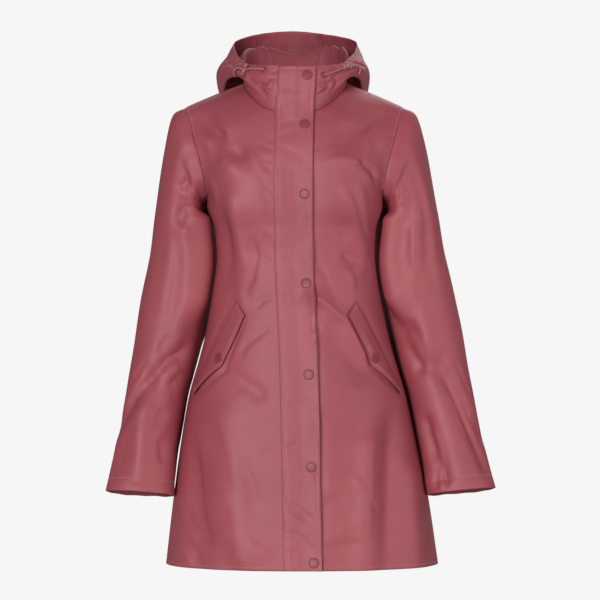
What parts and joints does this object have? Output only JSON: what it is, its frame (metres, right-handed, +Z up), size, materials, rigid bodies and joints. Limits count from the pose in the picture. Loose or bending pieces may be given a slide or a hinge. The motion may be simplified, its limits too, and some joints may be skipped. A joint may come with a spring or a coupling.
{
  "type": "hooded raincoat",
  "caption": "Long hooded raincoat of smooth coated cloth, hollow as if worn, with a snap-fastened placket, slanted pocket flaps and hood drawcords",
  "frame": {"origin": "between the tops of the wearer's shoulders, under the neck, which hold the coat up", "axes": "+Z up along the wearer's back, -Y out of the coat's front, +X toward the viewer's right, which is the wearer's left"},
  "size_m": [0.6571, 0.3368, 0.9187],
  "materials": {
    "coated_cloth": "soft satin coating over a knit backing",
    "snap": "moulded caps in the cloth's colour, semi-gloss",
    "cord": "braided",
    "toggle": "moulded"
  },
  "bodies": {
    "root": {"front_right": "coated_cloth", "front_left": "coated_cloth", "back": "coated_cloth", "sleeve_right": "coated_cloth", "sleeve_left": "coated_cloth", "hood_side_right": "coated_cloth", "hood_side_left": "coated_cloth", "hood_middle": "coated_cloth", "placket": "coated_cloth", "pocket_flap_right": "coated_cloth", "pocket_flap_left": "coated_cloth", "pocket_snap_right": "snap", "pocket_snap_left": "snap", "snap_1": "snap", "snap_2": "snap", "snap_3": "snap", "snap_4": "snap", "snap_5": "snap", "snap_6": "snap", "snap_7": "snap", "eyelet_right": "snap", "eyelet_left": "snap", "drawcord_right": "cord", "drawcord_left": "cord", "drawcord_end_right": "cord", "drawcord_end_left": "cord", "cord_lock_right": "toggle", "cord_lock_left": "toggle"}
  },
  "joints": []
}
